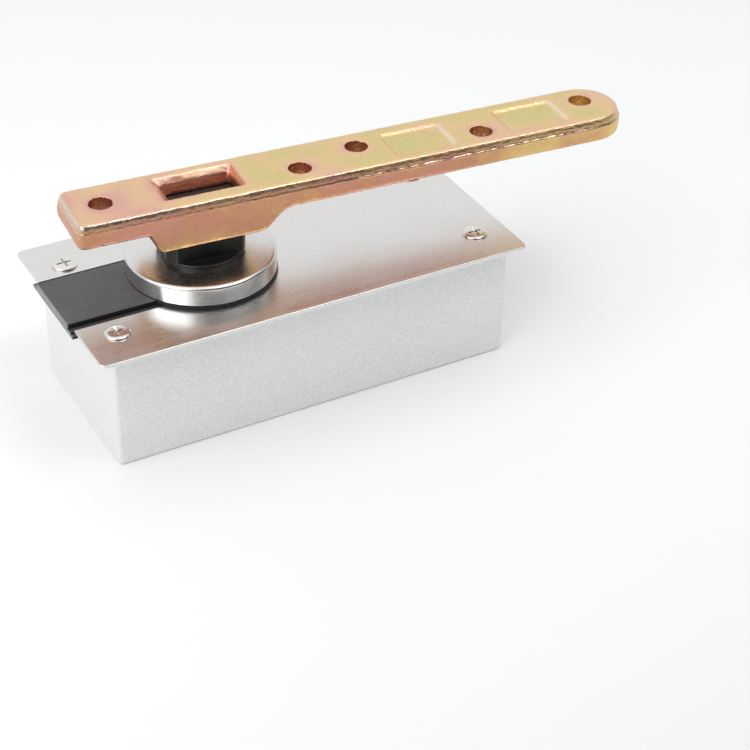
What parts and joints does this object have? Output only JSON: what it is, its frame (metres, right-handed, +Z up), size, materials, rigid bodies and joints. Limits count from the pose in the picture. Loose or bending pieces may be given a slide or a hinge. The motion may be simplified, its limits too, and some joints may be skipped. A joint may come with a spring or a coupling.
{
  "type": "floor pivot hinge",
  "caption": "Floor pivot hinge: a sheet case with a flanged cover plate, a spindle under a round disc cap, and a cast arm that turns on it and carries a door.",
  "frame": {"origin": "on the spindle's axis, in the plane that the case stands on", "axes": "+Z up along the spindle's axis, +X towards the long end of the case and of the arm"},
  "size_m": [0.2667, 0.0978, 0.1001],
  "materials": {
    "case_silver": "silver coated sheet with a fine sparkle",
    "brushed_stainless": "brushed along its length",
    "black_rubber": "matt extruded rubber",
    "bright_nickel": "bright nickel plate",
    "black_oxide": "black oxide, oiled",
    "yellow_zinc": "iridescent yellow zinc plate over a cast surface",
    "cast_iron": "sand cast, unpainted",
    "plain_steel": "machined, zinc plated",
    "bronze": "turned bronze",
    "bearing_steel": "ground and hardened",
    "spring_steel": "oiled spring steel"
  },
  "bodies": {
    "case": {"cement_case": "case_silver", "screw_post_1": "plain_steel", "screw_post_2": "plain_steel", "screw_post_3": "plain_steel", "screw_post_4": "plain_steel", "cover_plate": "brushed_stainless", "cover_screw_1": "bright_nickel", "cover_screw_2": "bright_nickel", "cover_screw_3": "bright_nickel", "cover_screw_4": "bright_nickel", "slot_strip": "black_rubber", "sealing_ring": "black_rubber", "housing": "cast_iron", "housing_lid": "cast_iron", "lid_screw_1": "plain_steel", "lid_screw_2": "plain_steel", "lid_screw_3": "plain_steel", "lid_screw_4": "plain_steel", "lid_screw_5": "plain_steel", "lid_screw_6": "plain_steel", "hold_down_bolt_1": "plain_steel", "hold_down_bolt_2": "plain_steel", "foot_bush": "bronze", "neck_bush": "bronze", "thrust_race_lower": "bearing_steel", "tension_screw_1": "plain_steel", "tension_screw_2": "plain_steel", "lock_nut_1": "plain_steel", "lock_nut_2": "plain_steel", "spring_seat_1": "plain_steel", "spring_seat_2": "plain_steel", "compression_spring_1": "spring_steel", "compression_spring_2": "spring_steel"},
    "spindle": {"spindle": "black_oxide", "cam_disc": "plain_steel", "cam_key": "plain_steel", "cam_circlip": "plain_steel", "thrust_race_upper": "bearing_steel", "disc_cap": "brushed_stainless", "arm": "yellow_zinc"},
    "ball_cage": {"thrust_cage": "bronze", "thrust_balls": "bearing_steel"},
    "carriage": {"roller_carriage": "plain_steel", "roller_pin": "plain_steel"},
    "roller": {"cam_roller": "bearing_steel"}
  },
  "joints": [
    {"name": "spindle_turn", "type": "hinge", "parent": "case", "child": "spindle", "pos_m": [0, 0, 0.0683], "axis": [0, 0, 1], "continuous": true},
    {"name": "cage_turn", "type": "hinge", "parent": "case", "child": "ball_cage", "pos_m": [0, 0, 0.0131], "axis": [0, 0, 1], "continuous": true},
    {"name": "carriage_slide", "type": "slide", "parent": "case", "child": "carriage", "axis": [1, 0, 0], "range_m": [-0.004, 0.001], "stiffness_N_per_m": 20000, "deforming": ["compression_spring_1", "compression_spring_2"]},
    {"name": "roller_spin", "type": "hinge", "parent": "carriage", "child": "roller", "pos_m": [0.0363, 0, 0.0266], "axis": [0, 0, 1], "continuous": true}
  ],
  "couplings": [
    {"joint": "cage_turn", "follows": "spindle_turn", "ratio": 0.5}
  ]
}
